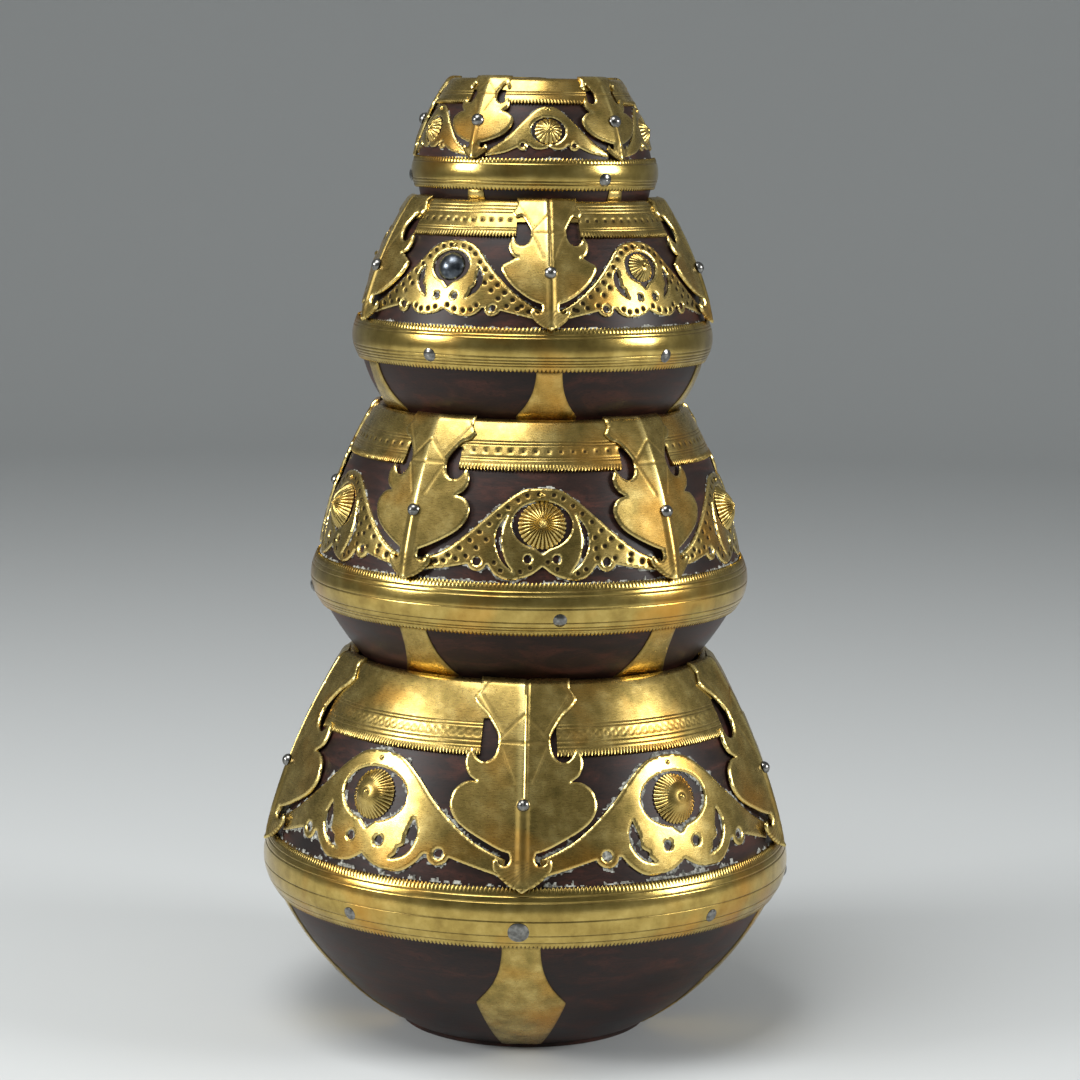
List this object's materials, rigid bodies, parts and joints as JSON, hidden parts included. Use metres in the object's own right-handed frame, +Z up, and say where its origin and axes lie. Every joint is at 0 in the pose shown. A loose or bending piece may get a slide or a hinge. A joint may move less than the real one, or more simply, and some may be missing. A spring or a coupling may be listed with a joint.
{
  "type": "stacking betel box",
  "caption": "Stack of graduated turned-wood boxes bound in pierced sheet brass; each rounded box is the lid of the one below.",
  "frame": {"origin": "centre of the underside of the largest box's foot, where the stack stands", "axes": "+Z up along the common axis of the stack, front faces -Y"},
  "size_m": [0.21, 0.2115, 0.3748],
  "materials": {
    "wood": "waxed dark red-brown hardwood",
    "brass": "hand-worked sheet brass with an aged polish",
    "iron": "dark forged iron"
  },
  "bodies": {
    "large_box": {"large_arch_pins": "brass", "large_arches": "brass", "large_belt": "brass", "large_belt_tacks": "iron", "large_bosses": "brass", "large_bowl": "wood", "large_collar": "brass", "large_foot_straps": "brass", "large_leaf_1": "brass", "large_leaf_2": "brass", "large_leaf_3": "brass", "large_leaf_4": "brass", "large_leaf_5": "brass", "large_leaf_tacks": "iron"},
    "medium_box": {"medium_arch_pins": "brass", "medium_arches": "brass", "medium_belt": "brass", "medium_belt_tacks": "iron", "medium_bosses": "brass", "medium_bowl": "wood", "medium_collar": "brass", "medium_foot_straps": "brass", "medium_leaf_1": "brass", "medium_leaf_2": "brass", "medium_leaf_3": "brass", "medium_leaf_4": "brass", "medium_leaf_5": "brass", "medium_leaf_tacks": "iron"},
    "small_box": {"small_arch_pins": "brass", "small_arches": "brass", "small_belt": "brass", "small_belt_tacks": "iron", "small_bosses": "brass", "small_bowl": "wood", "small_collar": "brass", "small_foot_straps": "brass", "small_iron_boss": "iron", "small_leaf_1": "brass", "small_leaf_2": "brass", "small_leaf_3": "brass", "small_leaf_4": "brass", "small_leaf_5": "brass", "small_leaf_tacks": "iron"},
    "top_box": {"top_arch_pins": "brass", "top_arches": "brass", "top_belt": "brass", "top_belt_tacks": "iron", "top_bosses": "brass", "top_bowl": "wood", "top_collar": "brass", "top_foot_straps": "brass", "top_leaf_1": "brass", "top_leaf_2": "brass", "top_leaf_3": "brass", "top_leaf_4": "brass", "top_leaf_5": "brass", "top_leaf_tacks": "iron"}
  },
  "joints": [
    {"name": "medium_box_lift", "type": "slide", "parent": "large_box", "child": "medium_box", "axis": [0, 0, 1], "range_m": [0, 0.12]},
    {"name": "small_box_lift", "type": "slide", "parent": "medium_box", "child": "small_box", "axis": [0, 0, 1], "range_m": [0, 0.12]},
    {"name": "top_box_lift", "type": "slide", "parent": "small_box", "child": "top_box", "axis": [0, 0, 1], "range_m": [0, 0.12]}
  ]
}
